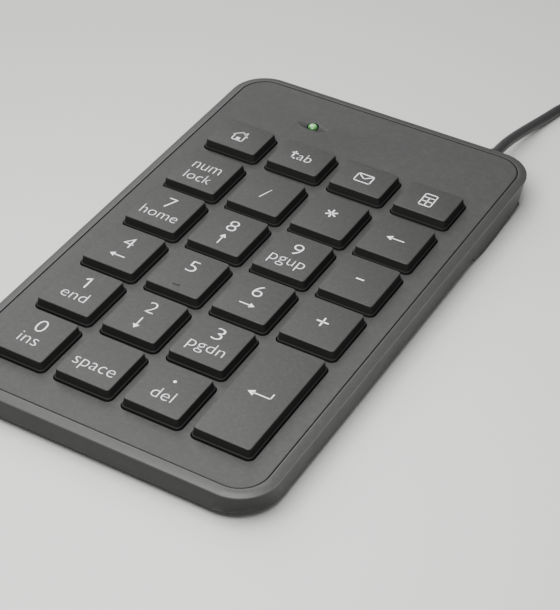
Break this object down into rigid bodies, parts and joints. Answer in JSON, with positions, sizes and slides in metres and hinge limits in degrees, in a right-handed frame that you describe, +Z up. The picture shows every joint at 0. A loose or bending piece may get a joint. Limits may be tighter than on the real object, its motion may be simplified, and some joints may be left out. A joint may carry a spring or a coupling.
{
  "type": "numeric keypad",
  "caption": "Slim wired numeric keypad with low square keys, a tall enter key, a row of short function keys, a status light and a plug-in cable.",
  "frame": {"origin": "on the desk, under the middle of the case", "axes": "+Z up, +Y away from the user along the case, +X to the right"},
  "size_m": [0.149, 0.2059, 0.0126],
  "materials": {
    "plate": "fine spark texture, satin",
    "bezel": "fine texture, satin",
    "case": "smooth, soft sheen",
    "guide": "moulded",
    "rubber_sheet": "translucent white, matt",
    "film": "clear polyester film with printed tracks",
    "board": "solder mask",
    "chip": "moulded epoxy",
    "light": "tinted clear resin",
    "foam": "foam",
    "screw": "black zinc",
    "foot": "matt",
    "cable": "satin",
    "wire": "coloured cores",
    "socket": "natural nylon",
    "spring_wire": "drawn",
    "tie": "nylon",
    "plug": "moulded, fine texture",
    "shell": "nickel plated",
    "tongue": "white insulator",
    "contact": "gold plated",
    "key": "fine texture",
    "legend": "printed ink"
  },
  "bodies": {
    "case": {"top_plate": "plate", "top_frame": "bezel", "bottom_case": "case", "key_guide_frame": "guide", "dome_sheet": "rubber_sheet", "membrane_upper": "film", "membrane_spacer": "film", "membrane_lower": "film", "controller_board": "board", "controller_chip": "chip", "board_components": "chip", "status_led": "light", "pressure_strip": "foam", "board_screws": "screw", "case_screws": "screw", "front_feet": "foot", "rear_feet": "foot", "cable_grommet": "cable", "inner_cable": "cable", "cable_wires": "wire", "cable_socket": "socket", "cable_lead": "cable", "cable_coil": "cable", "cable_tail": "cable", "cable_ties": "tie", "plug_body": "plug", "plug_shell": "shell", "plug_tongue": "tongue", "plug_contacts": "contact"},
    "key_home_page": {"key_home_page": "key"},
    "key_tab": {"key_tab": "key"},
    "key_mail": {"key_mail": "key"},
    "key_calculator": {"key_calculator": "key"},
    "key_num_lock": {"key_num_lock": "key"},
    "key_divide": {"key_divide": "key"},
    "key_multiply": {"key_multiply": "key"},
    "key_backspace": {"key_backspace": "key"},
    "key_7": {"key_7": "key"},
    "key_8": {"key_8": "key"},
    "key_9": {"key_9": "key"},
    "key_minus": {"key_minus": "key"},
    "key_4": {"key_4": "key"},
    "key_5": {"key_5": "key"},
    "key_6": {"key_6": "key"},
    "key_plus": {"key_plus": "key"},
    "key_1": {"key_1": "key"},
    "key_2": {"key_2": "key"},
    "key_3": {"key_3": "key"},
    "key_enter": {"key_enter": "key"},
    "key_0": {"key_0": "key"},
    "key_space": {"key_space": "key"},
    "key_decimal": {"key_decimal": "key"},
    "enter_stabiliser": {"enter_stabiliser": "spring_wire"}
  },
  "joints": [
    {"name": "press_home_page", "type": "slide", "parent": "case", "child": "key_home_page", "axis": [0, 0, -1], "range_m": [0, 0.0025], "stiffness_N_per_m": 180, "springref_m": -0.0008, "deforming": ["dome_sheet"]},
    {"name": "press_tab", "type": "slide", "parent": "case", "child": "key_tab", "axis": [0, 0, -1], "range_m": [0, 0.0025], "stiffness_N_per_m": 180, "springref_m": -0.0008, "deforming": ["dome_sheet"]},
    {"name": "press_mail", "type": "slide", "parent": "case", "child": "key_mail", "axis": [0, 0, -1], "range_m": [0, 0.0025], "stiffness_N_per_m": 180, "springref_m": -0.0008, "deforming": ["dome_sheet"]},
    {"name": "press_calculator", "type": "slide", "parent": "case", "child": "key_calculator", "axis": [0, 0, -1], "range_m": [0, 0.0025], "stiffness_N_per_m": 180, "springref_m": -0.0008, "deforming": ["dome_sheet"]},
    {"name": "press_num_lock", "type": "slide", "parent": "case", "child": "key_num_lock", "axis": [0, 0, -1], "range_m": [0, 0.0025], "stiffness_N_per_m": 180, "springref_m": -0.0008, "deforming": ["dome_sheet"]},
    {"name": "press_divide", "type": "slide", "parent": "case", "child": "key_divide", "axis": [0, 0, -1], "range_m": [0, 0.0025], "stiffness_N_per_m": 180, "springref_m": -0.0008, "deforming": ["dome_sheet"]},
    {"name": "press_multiply", "type": "slide", "parent": "case", "child": "key_multiply", "axis": [0, 0, -1], "range_m": [0, 0.0025], "stiffness_N_per_m": 180, "springref_m": -0.0008, "deforming": ["dome_sheet"]},
    {"name": "press_backspace", "type": "slide", "parent": "case", "child": "key_backspace", "axis": [0, 0, -1], "range_m": [0, 0.0025], "stiffness_N_per_m": 180, "springref_m": -0.0008, "deforming": ["dome_sheet"]},
    {"name": "press_7", "type": "slide", "parent": "case", "child": "key_7", "axis": [0, 0, -1], "range_m": [0, 0.0025], "stiffness_N_per_m": 180, "springref_m": -0.0008, "deforming": ["dome_sheet"]},
    {"name": "press_8", "type": "slide", "parent": "case", "child": "key_8", "axis": [0, 0, -1], "range_m": [0, 0.0025], "stiffness_N_per_m": 180, "springref_m": -0.0008, "deforming": ["dome_sheet"]},
    {"name": "press_9", "type": "slide", "parent": "case", "child": "key_9", "axis": [0, 0, -1], "range_m": [0, 0.0025], "stiffness_N_per_m": 180, "springref_m": -0.0008, "deforming": ["dome_sheet"]},
    {"name": "press_minus", "type": "slide", "parent": "case", "child": "key_minus", "axis": [0, 0, -1], "range_m": [0, 0.0025], "stiffness_N_per_m": 180, "springref_m": -0.0008, "deforming": ["dome_sheet"]},
    {"name": "press_4", "type": "slide", "parent": "case", "child": "key_4", "axis": [0, 0, -1], "range_m": [0, 0.0025], "stiffness_N_per_m": 180, "springref_m": -0.0008, "deforming": ["dome_sheet"]},
    {"name": "press_5", "type": "slide", "parent": "case", "child": "key_5", "axis": [0, 0, -1], "range_m": [0, 0.0025], "stiffness_N_per_m": 180, "springref_m": -0.0008, "deforming": ["dome_sheet"]},
    {"name": "press_6", "type": "slide", "parent": "case", "child": "key_6", "axis": [0, 0, -1], "range_m": [0, 0.0025], "stiffness_N_per_m": 180, "springref_m": -0.0008, "deforming": ["dome_sheet"]},
    {"name": "press_plus", "type": "slide", "parent": "case", "child": "key_plus", "axis": [0, 0, -1], "range_m": [0, 0.0025], "stiffness_N_per_m": 180, "springref_m": -0.0008, "deforming": ["dome_sheet"]},
    {"name": "press_1", "type": "slide", "parent": "case", "child": "key_1", "axis": [0, 0, -1], "range_m": [0, 0.0025], "stiffness_N_per_m": 180, "springref_m": -0.0008, "deforming": ["dome_sheet"]},
    {"name": "press_2", "type": "slide", "parent": "case", "child": "key_2", "axis": [0, 0, -1], "range_m": [0, 0.0025], "stiffness_N_per_m": 180, "springref_m": -0.0008, "deforming": ["dome_sheet"]},
    {"name": "press_3", "type": "slide", "parent": "case", "child": "key_3", "axis": [0, 0, -1], "range_m": [0, 0.0025], "stiffness_N_per_m": 180, "springref_m": -0.0008, "deforming": ["dome_sheet"]},
    {"name": "press_enter", "type": "slide", "parent": "case", "child": "key_enter", "axis": [0, 0, -1], "range_m": [0, 0.0025], "stiffness_N_per_m": 180, "springref_m": -0.0008, "deforming": ["dome_sheet"]},
    {"name": "press_0", "type": "slide", "parent": "case", "child": "key_0", "axis": [0, 0, -1], "range_m": [0, 0.0025], "stiffness_N_per_m": 180, "springref_m": -0.0008, "deforming": ["dome_sheet"]},
    {"name": "press_space", "type": "slide", "parent": "case", "child": "key_space", "axis": [0, 0, -1], "range_m": [0, 0.0025], "stiffness_N_per_m": 180, "springref_m": -0.0008, "deforming": ["dome_sheet"]},
    {"name": "press_decimal", "type": "slide", "parent": "case", "child": "key_decimal", "axis": [0, 0, -1], "range_m": [0, 0.0025], "stiffness_N_per_m": 180, "springref_m": -0.0008, "deforming": ["dome_sheet"]},
    {"name": "enter_stabiliser_swing", "type": "hinge", "parent": "case", "child": "enter_stabiliser", "pos_m": [0.0335, -0.0444, 0.007], "axis": [0, -1, 0], "range_deg": [0, 24.05]}
  ],
  "couplings": [
    {"joint": "enter_stabiliser_swing", "follows": "press_enter", "rad_per_m": 167.85}
  ]
}
